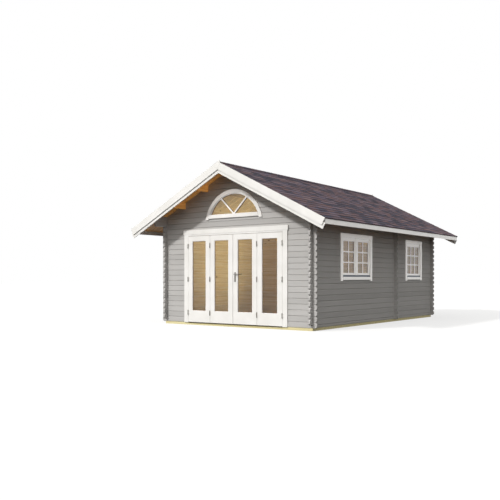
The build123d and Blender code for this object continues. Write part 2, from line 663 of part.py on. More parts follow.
# Windows
casings, frames, sashes, glasses = [], [], [], []
for share, widths in zip(WINDOW_SHARES, WINDOW_GLASS_WIDTHS):
    sets = make_window(WALL_LENGTH * share, widths)
    for pieces, made in zip((casings, frames, sashes, glasses), sets):
        pieces += [on_right_wall(piece) for piece in made]
save("window_casings", casings)
save("window_frames", frames)
save("window_sashes", sashes)
save("window_glass", glasses)
casing, frame, glass = make_arch_window()
save("gable_window_casing", casing)
save("gable_window_frame", frame)
save("gable_window_glass", glass)
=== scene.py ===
# %% [markdown]
# # A log cabin, dressed in Blender
# The solids of the cabin come ready made from the CAD model: every log, board, leaf and pane is already in
# its place. This file adds what a solid model leaves out: paint, wood grain, glass, shingles, glazing bars,
# beads and small ironwork. It also sets up the camera and the light. Everything is in metres, with the
# front towards -Y.

# %% Load the solids
import json
import math

import bmesh
import bpy
import numpy as np
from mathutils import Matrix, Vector


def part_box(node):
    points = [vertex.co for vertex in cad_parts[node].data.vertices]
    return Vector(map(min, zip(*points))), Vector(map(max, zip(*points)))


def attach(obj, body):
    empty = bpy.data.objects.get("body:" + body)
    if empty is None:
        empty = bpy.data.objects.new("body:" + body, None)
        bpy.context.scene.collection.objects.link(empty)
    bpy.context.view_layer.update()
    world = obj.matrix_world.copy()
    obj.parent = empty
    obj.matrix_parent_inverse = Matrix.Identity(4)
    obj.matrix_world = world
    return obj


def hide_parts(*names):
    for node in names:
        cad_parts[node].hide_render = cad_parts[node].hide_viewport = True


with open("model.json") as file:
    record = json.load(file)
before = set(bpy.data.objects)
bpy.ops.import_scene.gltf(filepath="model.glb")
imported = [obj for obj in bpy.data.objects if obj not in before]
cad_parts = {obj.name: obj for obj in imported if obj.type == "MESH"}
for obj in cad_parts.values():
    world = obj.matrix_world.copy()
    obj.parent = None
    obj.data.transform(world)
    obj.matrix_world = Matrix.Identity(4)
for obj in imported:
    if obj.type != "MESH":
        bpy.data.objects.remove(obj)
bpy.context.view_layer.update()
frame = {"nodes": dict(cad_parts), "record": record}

# %% [markdown]
# ## Camera
# The photograph was taken from the right of the front, a metre above the ground, with the camera held
# level. Its place was found by matching corners of the cabin to their pixels. A level camera keeps upright
# edges upright, and the small vertical shift moves the picture without tilting the camera, as a shift lens
# does.

# %% Place the camera
PHOTO_SIZE = 500
FOCAL_PIXELS = 676.86
HORIZON_ROW = 277.95
CAMERA_PLACE = (8.6368, -14.1081, 1.0219)
CAMERA_TURN = 0.6340
SENSOR_MM = 36.0


def put(name, data):
    """A new object of the scene, at the origin, unturned and unscaled."""
    thing = bpy.data.objects.new(name, data)
    bpy.context.scene.collection.objects.link(thing)
    return thing


lens = bpy.data.cameras.new("view")
lens.sensor_width = SENSOR_MM
lens.lens = FOCAL_PIXELS / PHOTO_SIZE * SENSOR_MM
lens.shift_y = (HORIZON_ROW - PHOTO_SIZE / 2) / PHOTO_SIZE
camera = put("view", lens)
camera.location = CAMERA_PLACE
camera.rotation_euler = (math.pi / 2, 0.0, CAMERA_TURN)
bpy.context.scene.camera = camera
print("lens", round(lens.lens, 2), "mm, shift", round(lens.shift_y, 4))

# %% [markdown]
# ## Colours and nodes
# Colours are written as sRGB hex values, the way a paint chart gives them. Blender's shaders work in linear
# light, so one function converts them. A second small function adds a shader node, sets its values and
# joins its inputs, which keeps each material short enough to read.

# %% Helpers for materials
def linear(code):
    """sRGB hex to linear light: c / 12.92 in the dark toe, ((c + 0.055) / 1.055) ** 2.4 above it."""
    share = np.array([int(code[i:i + 2], 16) for i in (0, 2, 4)]) / 255
    light = np.where(share > 0.04045, ((share + 0.055) / 1.055) ** 2.4, share / 12.92)
    return (*light.tolist(), 1.0)


def add(tree, kind, settings=None, links=None):
    """One node: lower-case settings are its options, others its input values; links join its inputs.

    A text value is a colour in hex, and a node given as a link means its first output. Sockets by number:
    a colour Mix takes its share at 0 and two colours at 6 and 7, and gives output 2; Map Range reads a
    value at 0, takes it from the range 1 to 2 and gives it in the range 3 to 4.
    """
    node = tree.nodes.new("ShaderNode" + kind)
    for key, value in (settings or {}).items():
        if isinstance(key, str) and key.islower():
            setattr(node, key, value)
        else:
            node.inputs[key].default_value = linear(value) if isinstance(value, str) else value
    for key, source in (links or {}).items():
        socket = source.outputs[0] if isinstance(source, bpy.types.Node) else source
        tree.links.new(socket, node.inputs[key])
    return node


def start(name):
    """A new material and its node tree, still empty."""
    material = bpy.data.materials.new(name)
    material.use_nodes = True
    material.node_tree.nodes.clear()
    return material, material.node_tree


print("white paint in linear light:", [round(v, 3) for v in linear("E8E5DF")])

# %% [markdown]
# ## Sun
# In the picture the sun stands to the front left, about a third of the way up: the front is bright, the
# right wall is in shade, and the roof's edge throws a slanted shadow on the gable. A large panel of light
# would blur that shadow, so a sun lamp is used, which sends all its light one way. A few degrees of spread
# give the shadow its slightly soft edge. The level is plain: a colour comes out about as it is written.

# %% Sun
SUN_FROM = np.array((-0.317, -0.763, 0.563))
SUN_LEVEL = 0.82
SUN_SPREAD = 5.0
LAMP_WHITE = "FFFEFC"


def shine_from(name, direction, level, spread):
    """A sun lamp from a direction, of level times pi: at level 1 a surface that faces it shows its colour."""
    lamp = bpy.data.lights.new(name, "SUN")
    lamp.energy = level * math.pi
    lamp.angle = math.radians(spread)
    lamp.color = linear(LAMP_WHITE)[:3]
    hung = put(name, lamp)
    x, y, z = direction / np.linalg.norm(direction)
    hung.rotation_euler = (math.acos(z), 0.0, math.atan2(x, -y))
    return hung


shine_from("sun", SUN_FROM, SUN_LEVEL, SUN_SPREAD)
bpy.context.scene.view_settings.view_transform = "Standard"
print("sun from", SUN_FROM, "at level", SUN_LEVEL)

# %% [markdown]
# ## Fill light
# Outdoors the whole sky lights the shaded sides. In a studio a large white screen beside the camera does
# that, so the world is one soft light, strongest in front of the cabin and a little above. The space under
# the roof's edge turns its back to it and stays dark; a light that is even all round would lift that shade
# too. What the camera sees behind the cabin, directly or by way of glass and metal, is plain white.

# %% Fill light
FILL_FROM = np.array((0.14, -0.80, 0.58))
FILL_LOW, FILL_HIGH = 0.17, 1.24
FILL_WHITE = "FBFAF7"
PURE_WHITE = (1.0, 1.0, 1.0, 1.0)


def seen_directly(tree):
    """1 for rays from the camera, also by way of glass or a reflection, and 0 for rays that gather light."""
    path = add(tree, "LightPath").outputs
    either = add(tree, "Math", {"operation": "MAXIMUM"}, {0: path["Is Camera Ray"], 1: path["Is Glossy Ray"]})
    seen = add(tree, "Math", {"operation": "MAXIMUM"}, {0: either, 1: path["Is Transmission Ray"]})
    return seen.outputs[0]


world = bpy.data.worlds.new("studio")
world.use_nodes = True
tree = world.node_tree
tree.nodes.clear()
facing = add(tree, "VectorMath", {"operation": "DOT_PRODUCT", 1: FILL_FROM / np.linalg.norm(FILL_FROM)},
             {0: add(tree, "TexCoord").outputs["Generated"]})
near = add(tree, "MapRange", {1: -1.0, 2: 1.0}, {0: facing.outputs["Value"]})
square = add(tree, "Math", {"operation": "POWER", 1: 2.0}, {0: near})
level = add(tree, "MapRange", {3: FILL_LOW, 4: FILL_HIGH}, {0: square})
fill = add(tree, "Background", {"Color": FILL_WHITE}, {"Strength": level})
white = add(tree, "Background", {"Color": PURE_WHITE, "Strength": 1.0})
both = add(tree, "MixShader", {}, {0: seen_directly(tree), 1: fill, 2: white})
add(tree, "OutputWorld", {}, {"Surface": both})
bpy.context.scene.world = world
print("fill from", FILL_FROM, "level", FILL_LOW, "to", FILL_HIGH)

# %% [markdown]
# ## Floor
# The cabin stands on a plain pale floor that runs into the white behind it, like a roll of paper in a
# studio. A floor that is white for every ray would throw much light up at the walls and wash out the shade
# under the roof. So it is white to the camera, part glow and part lit surface, which keeps the cabin's
# shadow, and dark grey to the light that bounces off it.

# %% Floor
FLOOR_REACH = 90.0
FLOOR_BOUNCE = "403F3E"
FLOOR_GLOW, FLOOR_SHADE = 0.66, 0.34

floor_mesh = bpy.data.meshes.new("studio_floor")
sides = np.array([(-1, -1, 0), (1, -1, 0), (1, 1, 0), (-1, 1, 0)]) * FLOOR_REACH
floor_mesh.from_pydata(sides.tolist(), [], [[0, 1, 2, 3]])
studio_floor = put("studio_floor", floor_mesh)

# Matt paper gives the eye no gloss at all, only the shadow.
pale, tree = start("pale_floor")
paper = add(tree, "BsdfPrincipled", {"Base Color": FLOOR_BOUNCE, "Roughness": 1.0, "Specular IOR Level": 0.0})
lit = add(tree, "BsdfDiffuse", {"Color": (FLOOR_SHADE, FLOOR_SHADE, FLOOR_SHADE, 1.0)})
glow = add(tree, "Emission", {"Color": PURE_WHITE, "Strength": FLOOR_GLOW})
shown = add(tree, "AddShader", {}, {0: lit, 1: glow})
either = add(tree, "MixShader", {}, {0: seen_directly(tree), 1: paper, 2: shown})
add(tree, "OutputMaterial", {}, {"Surface": either})
floor_mesh.materials.append(pale)
print("floor:", 2 * FLOOR_REACH, "m wide, glow", FLOOR_GLOW, "and lit part", FLOOR_SHADE)

# %% [markdown]
# ## Room lamps
# Through the panes the picture shows warm bare wood in both rooms. A bulb in the middle of a room would
# light the floor most, so each room has a soft spot lamp that is aimed at the upper part of the left wall.
# Only its light is seen, never the lamp itself.

# %% Room lamps
ROOM_LAMP_WATTS = 185.0
ROOM_LAMPS = {"front_room_lamp": -1.07, "rear_room_lamp": 1.91}
LAMP_X, LAMP_Z = 0.9, 1.35
WALL_X, WALL_Z = -1.535, 1.912
LAMP_WARM = "FFF0D8"


def hang_spot(name, place, target, watts, spread, size, tint=LAMP_WARM):
    """A spot lamp at a place, turned so that its beam meets a target; only its light is seen."""
    bulb = bpy.data.lights.new(name, "SPOT")
    bulb.energy = watts
    bulb.spot_size = math.radians(spread)
    bulb.spot_blend = 1.0
    bulb.shadow_soft_size = size
    bulb.color = linear(tint)[:3]
    hung = put(name, bulb)
    hung.location = place
    hung.rotation_euler = (Vector(target) - Vector(place)).to_track_quat("-Z", "Y").to_euler()
    hung.visible_camera = hung.visible_glossy = hung.visible_transmission = False
    return hung


for name, y in ROOM_LAMPS.items():
    hang_spot(name, (LAMP_X, y, LAMP_Z), (WALL_X, y, WALL_Z), ROOM_LAMP_WATTS, spread=92.0, size=0.45)
print("room lamps:", len(ROOM_LAMPS), "of", ROOM_LAMP_WATTS, "W")

# %% [markdown]
# ## Spruce
# The logs, purlins and roof boards are planed spruce. Planed softwood shows narrow early and late growth
# rings drawn out along the board, with a brown knot here and there. A wave pattern would be too regular, so
# noise stretched along the grain gives the rings, and stretched Voronoi cells give the knots. The function
# returns a colour and a height, so that bare wood and the inside of painted logs can share it.

# %% Spruce grain
# Real rings are 2 to 4 mm apart; they are drawn coarser so that they show.
RING_MM = 9.0
RINGS_IN_CELL = 4
RING_RUN_MM = 900.0
KNOT_ACROSS_MM = 220.0
KNOT_ALONG_MM = 600.0
KNOT_BROWN = "6E4524"
ACROSS, ALONG, UP = 0, 1, 2


def spruce(tree, place, axis, light="F0DAA8", dark="DDBB7C"):
    """Wood colour and height: noise stretched along the axis for rings, stretched cells for knots."""
    across = np.full(3, 1000 / RING_MM / RINGS_IN_CELL)
    across[axis] = 1000 / RING_RUN_MM
    stretched = add(tree, "Mapping", {"Scale": across.tolist()}, {"Vector": place})
    rings = add(tree, "TexNoise", {"Scale": 1.0, "Detail": 5.0, "Roughness": 0.62, "Distortion": 0.35},
                {"Vector": stretched})
    spaced = np.full(3, 1000 / KNOT_ACROSS_MM)
    spaced[axis] = 1000 / KNOT_ALONG_MM
    scattered = add(tree, "Mapping", {"Scale": spaced.tolist()}, {"Vector": place})
    knots = add(tree, "TexVoronoi", {"Scale": 1.0}, {"Vector": scattered})
    knot = add(tree, "MapRange", {1: 0.03, 2: 0.085, 3: 1.0, 4: 0.0}, {0: knots.outputs["Distance"]})
    tone = add(tree, "MapRange", {1: 0.36, 2: 0.64}, {0: rings})
    wood = add(tree, "Mix", {"data_type": "RGBA", 6: light, 7: dark}, {0: tone})
    full = add(tree, "Mix", {"data_type": "RGBA", 7: KNOT_BROWN}, {0: knot, 6: wood.outputs[2]})
    return full.outputs[2], rings.outputs[0]


print("rings", RING_MM, "mm apart, knots about", KNOT_ACROSS_MM, "by", KNOT_ALONG_MM, "mm")

# %% [markdown]
# ## Boards and joints
# A wall of logs or a deck is many pieces of wood, each with a tone of its own and a fine dark joint to the
# next. Painting a line for every joint by hand would be slow. Counting the boards along one axis gives
# every point its board's number: the number picks a random tone, and the distance to the nearest joint
# draws the line.

# %% Boards and joints
JOINT_LINE = 0.004


def board_lines(tree, coordinate, width, offset=0.0):
    """Each board's own random tone, and a joint mask that is 1 in the groove between two boards."""
    shifted = add(tree, "Math", {"operation": "SUBTRACT", 1: offset}, {0: coordinate})
    count = add(tree, "Math", {"operation": "DIVIDE", 1: width}, {0: shifted})
    number = add(tree, "Math", {"operation": "FLOOR"}, {0: count})
    tone = add(tree, "TexWhiteNoise", {"noise_dimensions": "1D"}, {"W": number})
    edge = add(tree, "Math", {"operation": "PINGPONG", 1: 0.5}, {0: count})
    joint = add(tree, "MapRange", {1: 0.0, 2: JOINT_LINE / width, 3: 1.0, 4: 0.0}, {0: edge})
    return tone.outputs[0], joint.outputs[0]


print("a joint darkens", 1000 * JOINT_LINE, "mm on each side")

# %% [markdown]
# ## Inside and outside
# The same logs are painted outside and bare inside, and each log is one solid. Two materials would need a
# cut through every log, so one material asks instead whether a point lies on the room's side of the wall.

# %% Room side
ROOM_HALF_WIDTH = 1.8765
ROOM_FRONT = -2.9015
ROOM_BACK = 3.0115


def room_side(tree, place, half_width, front, back):
    """1 where |x| is under half the width and y lies between front and back, else 0."""
    part = add(tree, "SeparateXYZ", {}, {0: place}).outputs
    wide = add(tree, "Math", {"operation": "ABSOLUTE"}, {0: part[ACROSS]})
    inner = add(tree, "Math", {"operation": "LESS_THAN", 1: half_width}, {0: wide})
    behind = add(tree, "Math", {"operation": "GREATER_THAN", 1: front}, {0: part[ALONG]})
    before = add(tree, "Math", {"operation": "LESS_THAN", 1: back}, {0: part[ALONG]})
    deep = add(tree, "Math", {"operation": "MULTIPLY"}, {0: behind, 1: before})
    return add(tree, "Math", {"operation": "MULTIPLY"}, {0: inner, 1: deep}).outputs[0]


print("bare wood for |x| under", ROOM_HALF_WIDTH, "and y from", ROOM_FRONT, "to", ROOM_BACK)

# %% [markdown]
# ## Painted logs
# Outside, the logs carry a warm grey exterior paint, brushed on thin enough for the grain to show as a fine
# relief. Each log took the paint a little differently, and the grooves between logs are drawn darker: partly
# dust, partly painted shade. Inside, each bare log has its own tone and a brown joint line. A flat grey would
# look like plastic, so the paint's tone is mixed from the grain, the log's number and slow patches of
# weather.

# %% Painted log material
COURSE = 0.114
FRONT_JOINT = 0.053
SIDE_JOINT = FRONT_JOINT + COURSE / 2
PAINT_DARK, PAINT_LIGHT = "AAA8A6", "B9B7B5"
# Dust and painted shade: the grooves between logs are drawn in this darker grey.
GROOVE_DUST_AND_SHADE = "6F6B66"
GROOVE_SHARE = 0.55
LOG_SHARE, WEATHER_SHARE = 0.55, 0.5
# Patches of weather are about 450 mm wide.
WEATHER_PER_METRE = 2.2


def painted_log(name, axis, first_joint):
    """Grey paint outside and bare spruce inside, for logs that run along an axis.

    The paint's tone is rings + log share * the log's tone + weather share * patches.
    """
    material, tree = start(name)
    place = add(tree, "TexCoord").outputs["Object"]
    part = add(tree, "SeparateXYZ", {}, {0: place}).outputs
    wood, rings = spruce(tree, place, axis)
    tone, joint = board_lines(tree, part[UP], COURSE, first_joint)
    worn = add(tree, "TexNoise", {"Scale": WEATHER_PER_METRE, "Detail": 3.0}, {"Vector": place})
    mixed = add(tree, "Math", {"operation": "MULTIPLY_ADD", 1: LOG_SHARE}, {0: tone, 2: rings})
    shade = add(tree, "Math", {"operation": "MULTIPLY_ADD", 1: WEATHER_SHARE}, {0: worn, 2: mixed})
    share = add(tree, "MapRange", {1: 0.55, 2: 1.45}, {0: shade})
    paint = add(tree, "Mix", {"data_type": "RGBA", 6: PAINT_DARK, 7: PAINT_LIGHT}, {0: share})
    # Painted shade and dust in the grooves outside; inside, the same mask draws the brown joint line.
    groove_darkening = add(tree, "Math", {"operation": "MULTIPLY", 1: GROOVE_SHARE}, {0: joint})
    coat = add(tree, "Mix", {"data_type": "RGBA", 7: GROOVE_DUST_AND_SHADE}, {0: groove_darkening, 6: paint.outputs[2]})
    varied = add(tree, "MapRange", {3: 0.93, 4: 1.04}, {0: tone})
    toned = add(tree, "VectorMath", {"operation": "SCALE"}, {0: wood, "Scale": varied})
    lined = add(tree, "Mix", {"data_type": "RGBA", 7: KNOT_BROWN}, {0: groove_darkening, 6: toned})
    inside = room_side(tree, place, ROOM_HALF_WIDTH, ROOM_FRONT, ROOM_BACK)
    colour = add(tree, "Mix", {"data_type": "RGBA"}, {0: inside, 6: coat.outputs[2], 7: lined.outputs[2]})
    bump = add(tree, "Bump", {"Strength": 0.35, "Distance": 0.0012}, {"Height": rings})
    rough = add(tree, "MapRange", {3: 0.62, 4: 0.78}, {0: rings})
    shader = add(tree, "BsdfPrincipled", {"Specular IOR Level": 0.3},
                 {"Base Color": colour.outputs[2], "Roughness": rough, "Normal": bump})
    add(tree, "OutputMaterial", {}, {"Surface": shader})
    return material


# Brushed exterior paint gives the eye a soft, nearly matt grey with faint streaks along each log.
logs_across = painted_log("grey_painted_spruce_across", ACROSS, FRONT_JOINT)
logs_along = painted_log("grey_painted_spruce_along", ALONG, SIDE_JOINT)
print("painted logs:", logs_across.name, logs_along.name)

# %% [markdown]
# ## Bare wood
# Purlins and roof boards are left as clear-oiled spruce. Outside, light and weather have turned it a warm
# orange brown; inside the rooms it is still pale. The roof boards are narrow and run down the slope, and
# their joints show as fine dark lines under the eaves. The floor boards lie across the joists. The ground
# beams are pressure-treated pine, and the lining round the arch is stained pine. All of them share one
# grain, so one function makes them with different colours, boards and sheen.

# %% Bare wood materials
ROOF_BOARD = 0.096
FLOOR_BOARD = 0.118
BOARD_JOINT = "4A2E18"


def bare_wood(name, axis, board_axis=None, board=None, light="E8B26C", dark="D2964E", sheen=0.5,
              pale_inside=False):
    """Spruce with grain along an axis, and board joints along another if a board width is given."""
    material, tree = start(name)
    place = add(tree, "TexCoord").outputs["Object"]
    wood, rings = spruce(tree, place, axis, light, dark)
    if pale_inside:
        inside = room_side(tree, place, ROOM_HALF_WIDTH, ROOM_FRONT, ROOM_BACK)
        pale = spruce(tree, place, axis)[0]
        wood = add(tree, "Mix", {"data_type": "RGBA"}, {0: inside, 6: wood, 7: pale}).outputs[2]
    height = rings
    if board:
        part = add(tree, "SeparateXYZ", {}, {0: place}).outputs
        tone, joint = board_lines(tree, part[board_axis], board)
        varied = add(tree, "MapRange", {3: 0.84, 4: 1.10}, {0: tone})
        toned = add(tree, "VectorMath", {"operation": "SCALE"}, {0: wood, "Scale": varied})
        lined = add(tree, "Mix", {"data_type": "RGBA", 7: BOARD_JOINT}, {0: joint, 6: toned})
        deep = add(tree, "Math", {"operation": "MULTIPLY_ADD", 1: -2.0}, {0: joint, 2: rings})
        wood, height = lined.outputs[2], deep.outputs[0]
    bump = add(tree, "Bump", {"Strength": 0.4, "Distance": 0.0015}, {"Height": height})
    shader = add(tree, "BsdfPrincipled", {"Roughness": sheen}, {"Base Color": wood, "Normal": bump})
    add(tree, "OutputMaterial", {}, {"Surface": shader})
    return material


# Oil deepens the grain to a warm orange brown and leaves a soft sheen.
purlin_wood = bare_wood("oiled_spruce_beam", ALONG, pale_inside=True)
# The same oil on narrow boards: the tone changes from board to board, with dark joints.
roof_wood = bare_wood("oiled_spruce_roof_boards", ACROSS, ALONG, ROOF_BOARD, pale_inside=True)
# Floor oil is rubbed smooth, so the boards shine a little more.
floor_wood = bare_wood("oiled_spruce_floor_boards", ACROSS, ALONG, FLOOR_BOARD, "E0B878", "C79A58", 0.38)
# Stain makes pine dark and even, so that the arch has a brown edge behind the glass.
lining_wood = bare_wood("stained_pine_lining", UP, light="C98A4B", dark="9C5B26")
# Pressure treatment leaves pine pale, dull and a little yellow-green.
ground_wood = bare_wood("pressure_treated_pine", ACROSS, light="DDD3A4", dark="C9BB86", sheen=0.7)
print("bare wood:", purlin_wood.name, roof_wood.name, floor_wood.name, lining_wood.name, ground_wood.name)

# %% [markdown]
# ## Rails and stiles
# Leaves, frames and sashes are painted on the outside only: towards the room they are bare wood, and the
# paint ends at the middle of the pane. A leaf is joined from boards, so its grain runs up the stiles and
# level along the rails. The leaf is one solid, so a mask finds the rails from the place of the pane.

# %% Rails of a leaf
PANE_HALF_WIDTH = 1.892
PANE_FRONT = -2.9235
LEAF_PITCH = 0.617
LEAF_PANE_HALF = 0.187
LEAF_PANE_LOW, LEAF_PANE_HIGH = 0.309, 1.818
pane_low, pane_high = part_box("outer_leaf_glass")
LEAF_PANE_MIDDLE = (pane_low.y + pane_high.y) / 2


def on_rails(tree, place):
    """1 above and below a leaf's pane, else 0: |z - middle| over half the height, |x| near half a pitch."""
    part = add(tree, "SeparateXYZ", {}, {0: place}).outputs
    half = (LEAF_PANE_HIGH - LEAF_PANE_LOW) / 2
    rise = add(tree, "Math", {"operation": "SUBTRACT", 1: LEAF_PANE_LOW + half}, {0: part[UP]})
    away = add(tree, "Math", {"operation": "ABSOLUTE"}, {0: rise})
    beyond = add(tree, "Math", {"operation": "GREATER_THAN", 1: half}, {0: away})
    reach = add(tree, "Math", {"operation": "PINGPONG", 1: LEAF_PITCH / 2}, {0: part[ACROSS]})
    between = add(tree, "Math", {"operation": "GREATER_THAN", 1: LEAF_PITCH / 2 - LEAF_PANE_HALF},
                  {0: reach})
    both = add(tree, "Math", {"operation": "MULTIPLY"}, {0: beyond, 1: between})
    return both.outputs[0]


print("leaf panes", LEAF_PANE_LOW, "to", LEAF_PANE_HIGH, "m up, middle at y", round(LEAF_PANE_MIDDLE, 4))

# %% [markdown]
# ## White paint
# Barge boards, fascias, casings, leaves and sashes have a sprayed white paint. Sprayed paint dries with a
# very fine orange-peel relief and a clear gloss, and weather turns it slightly uneven. A plain glossy white
# would do from far off, but here the gloss is a coat layer over a duller base, which mirrors the pale
# surroundings and keeps the trim bright on the shaded side. The joinery of the side windows, which stands in
# shade, is given a brighter white than the rest: painted light that lifts it.

# %% White paint material
# Real orange peel is about 1 mm; it is drawn coarser so that it shows.
PEEL_MM = 4.0
# Uneven patches are about 330 mm wide.
PATCHES_PER_METRE = 3.0
STAIN_LIGHT, STAIN_DARK = "C08C57", "936236"


def white_paint(name, bare_behind=None, rails=False, tones=("E2E0DC", "EAE8E5")):
    """Sprayed white paint: fine relief, a faint uneven tone, and bare spruce behind a given y."""
    material, tree = start(name)
    place = add(tree, "TexCoord").outputs["Object"]
    patchy = add(tree, "TexNoise", {"Scale": PATCHES_PER_METRE, "Detail": 4.0}, {"Vector": place})
    share = add(tree, "MapRange", {1: 0.35, 2: 0.65}, {0: patchy})
    coat = add(tree, "Mix", {"data_type": "RGBA", 6: tones[0], 7: tones[1]}, {0: share})
    colour = coat.outputs[2]
    if bare_behind:
        inside = room_side(tree, place, PANE_HALF_WIDTH, bare_behind, ROOM_BACK)
        wood = spruce(tree, place, UP, STAIN_LIGHT, STAIN_DARK)[0]
        if rails:
            level = spruce(tree, place, ACROSS, STAIN_LIGHT, STAIN_DARK)[0]
            joined = add(tree, "Mix", {"data_type": "RGBA"}, {0: on_rails(tree, place), 6: wood, 7: level})
            wood = joined.outputs[2]
        colour = add(tree, "Mix", {"data_type": "RGBA"}, {0: inside, 6: colour, 7: wood}).outputs[2]
    peel = add(tree, "TexNoise", {"Scale": 1000 / PEEL_MM, "Detail": 2.0}, {"Vector": place})
    bump = add(tree, "Bump", {"Strength": 0.08, "Distance": 0.001}, {"Height": peel})
    rough = add(tree, "MapRange", {3: 0.38, 4: 0.5}, {0: patchy})
    shader = add(tree, "BsdfPrincipled", {"Coat Weight": 1.0, "Coat Roughness": 0.2, "Coat IOR": 1.6},
                 {"Base Color": colour, "Roughness": rough, "Normal": bump})
    add(tree, "OutputMaterial", {}, {"Surface": shader})
    return material


# Sprayed paint gives the eye an even white with a broad soft shine; towards the room it is brown wood.
white_trim = white_paint("sprayed_white_paint")
window_trim = white_paint("white_outside_spruce_inside", PANE_FRONT)
leaf_trim = white_paint("white_outside_spruce_inside_leaf", LEAF_PANE_MIDDLE, rails=True)
# Painted light: the side windows stand in shade, so their joinery gets a brighter white than the rest.
shade_lifted_joinery_trim = white_paint("shade_lifted_white_spruce_inside", PANE_FRONT, tones=("F6F4F1", "FBF9F7"))
print("trim:", white_trim.name, window_trim.name, leaf_trim.name, shade_lifted_joinery_trim.name)

# %% [markdown]
# ## Roof measures
# Shingles lie in level courses, and of each course only the lower part stays in view. Their colour follows
# the courses, so the slope is measured before it is painted. The run from the ridge to the eave could be
# typed in; it is read from the solid of the covering, and the first course hangs a little over its edge.

# %% Roof measures
PITCH = math.radians(27.0)
EXPOSED = 0.145
EAVE_LIP = 0.005
cover_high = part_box("right_roof_covering")[1]
EAVE_RUN = cover_high.x / math.cos(PITCH) + EAVE_LIP
print("ridge to eave", round(EAVE_RUN, 3), "m, courses", int(EAVE_RUN / EXPOSED))

# %% [markdown]
# ## Shingle felt
# The roof is covered with bitumen shingles. Their face is pressed full of crushed slate, so it is matt and
# speckled, and the slate is mixed in several tones: charcoal, violet grey and a brownish red. A picture of
# a roof would repeat itself, so each tab carries its own tone in an attribute of the mesh, and noise drawn
# out along the course adds the streaks. Painted shade darkens each tab where the next course begins, and
# its lower edge is browner, so that the courses can be told apart from far off.

# %% Shingle material
# Real granules are about 1.5 mm; they are drawn coarser so that they show.
GRANULE_MM = 5.0
STREAK_ALONG_MM, STREAK_DOWN_MM = 520.0, 55.0
SLATE_ENDS = ("2F2D3A", "776467")
SLATE_BETWEEN = {0.3: "424253", 0.55: "6F5350", 0.75: "525065"}
BUTT_EDGE_BROWN = "745750"


def shingle_felt(name, attribute):
    """Slate-faced bitumen: a tone for each tab, streaks along the course, granules all over.

    The place in a course is the fraction of (eave run - |x| / cos pitch) / exposed height.
    """
    material, tree = start(name)
    place = add(tree, "TexCoord").outputs["Object"]
    tab = add(tree, "Attribute", {"attribute_name": attribute}).outputs["Fac"]
    scale = (1000 / STREAK_DOWN_MM, 1000 / STREAK_ALONG_MM, 1000 / STREAK_DOWN_MM)
    drawn = add(tree, "Mapping", {"Scale": scale}, {"Vector": place})
    streak = add(tree, "TexNoise", {"Scale": 1.0, "Detail": 3.0}, {"Vector": drawn})
    x = add(tree, "SeparateXYZ", {}, {0: place}).outputs[ACROSS]
    run = add(tree, "Math", {"operation": "ABSOLUTE"}, {0: x})
    per_metre = -1 / EXPOSED / math.cos(PITCH)
    courses = add(tree, "Math", {"operation": "MULTIPLY_ADD", 1: per_metre, 2: EAVE_RUN / EXPOSED},
                  {0: run})
    height = add(tree, "Math", {"operation": "FRACT"}, {0: courses})
    # Painted shade: each tab is drawn darker towards its top, where the next course overhangs it.
    shade = add(tree, "MapRange", {1: 0.70, 2: 1.0, 3: 1.0, 4: 0.30}, {0: height})
    # Each tab is drawn browner towards its lower edge.
    worn = add(tree, "MapRange", {1: 0.0, 2: 0.28, 3: 0.45, 4: 0.0}, {0: height})
    grain = add(tree, "TexNoise", {"Scale": 1000 / GRANULE_MM, "Detail": 2.0}, {"Vector": place})
    mixed = add(tree, "Math", {"operation": "MULTIPLY_ADD", 1: 1.9}, {0: streak, 2: tab})
    share = add(tree, "MapRange", {1: 0.9, 2: 2.0}, {0: mixed})
    tones = add(tree, "ValToRGB", {}, {0: share})
    ramp = tones.color_ramp
    ramp.elements[0].color = linear(SLATE_ENDS[0])
    ramp.elements[1].color = linear(SLATE_ENDS[1])
    for where, code in SLATE_BETWEEN.items():
        ramp.elements.new(where).color = linear(code)
    edged = add(tree, "Mix", {"data_type": "RGBA", 7: BUTT_EDGE_BROWN}, {0: worn, 6: tones})
    speck = add(tree, "MapRange", {1: 0.3, 2: 0.7, 3: 0.72, 4: 1.28}, {0: grain})
    both = add(tree, "Math", {"operation": "MULTIPLY"}, {0: speck, 1: shade})
    colour = add(tree, "VectorMath", {"operation": "SCALE"}, {0: edged.outputs[2], "Scale": both})
    bump = add(tree, "Bump", {"Strength": 0.6, "Distance": 0.002}, {"Height": grain})
    shader = add(tree, "BsdfPrincipled", {"Roughness": 0.92, "Specular IOR Level": 0.25},
                 {"Base Color": colour, "Normal": bump})
    add(tree, "OutputMaterial", {}, {"Surface": shader})
    return material


# Crushed slate gives the eye a dull, speckled surface in mixed greys and browns.
shingle = shingle_felt("slate_faced_bitumen_felt", "tab_tone")
print("shingles:", shingle.name, "granules", GRANULE_MM, "mm")

# %% [markdown]
# ## Glass
# The panes are clear float glass with a trace of green. Real glass would keep the light of the sun and the
# fill out of the rooms, because a renderer finds such paths only by chance. So rays that gather light pass
# the panes as if they were open, while the camera sees glass with its reflections.

# %% Glass material
GLASS_TINT = "E6F0EC"


def float_glass(name):
    """Clear glass to the eye, open to the rays that carry light inside."""
    material, tree = start(name)
    pane = add(tree, "BsdfPrincipled",
               {"Base Color": GLASS_TINT, "Roughness": 0.02, "IOR": 1.5, "Transmission Weight": 1.0})
    path = add(tree, "LightPath").outputs
    gathers = add(tree, "Math", {"operation": "MAXIMUM"},
                  {0: path["Is Shadow Ray"], 1: path["Is Diffuse Ray"]})
    opening = add(tree, "BsdfTransparent")
    both = add(tree, "MixShader", {}, {0: gathers, 1: pane, 2: opening})
    add(tree, "OutputMaterial", {}, {"Surface": both})
    return material


# Float glass is smooth on both faces, so it gives the eye sharp reflections over a clear view.
glass = float_glass("clear_float_glass")
print("glass:", glass.name)

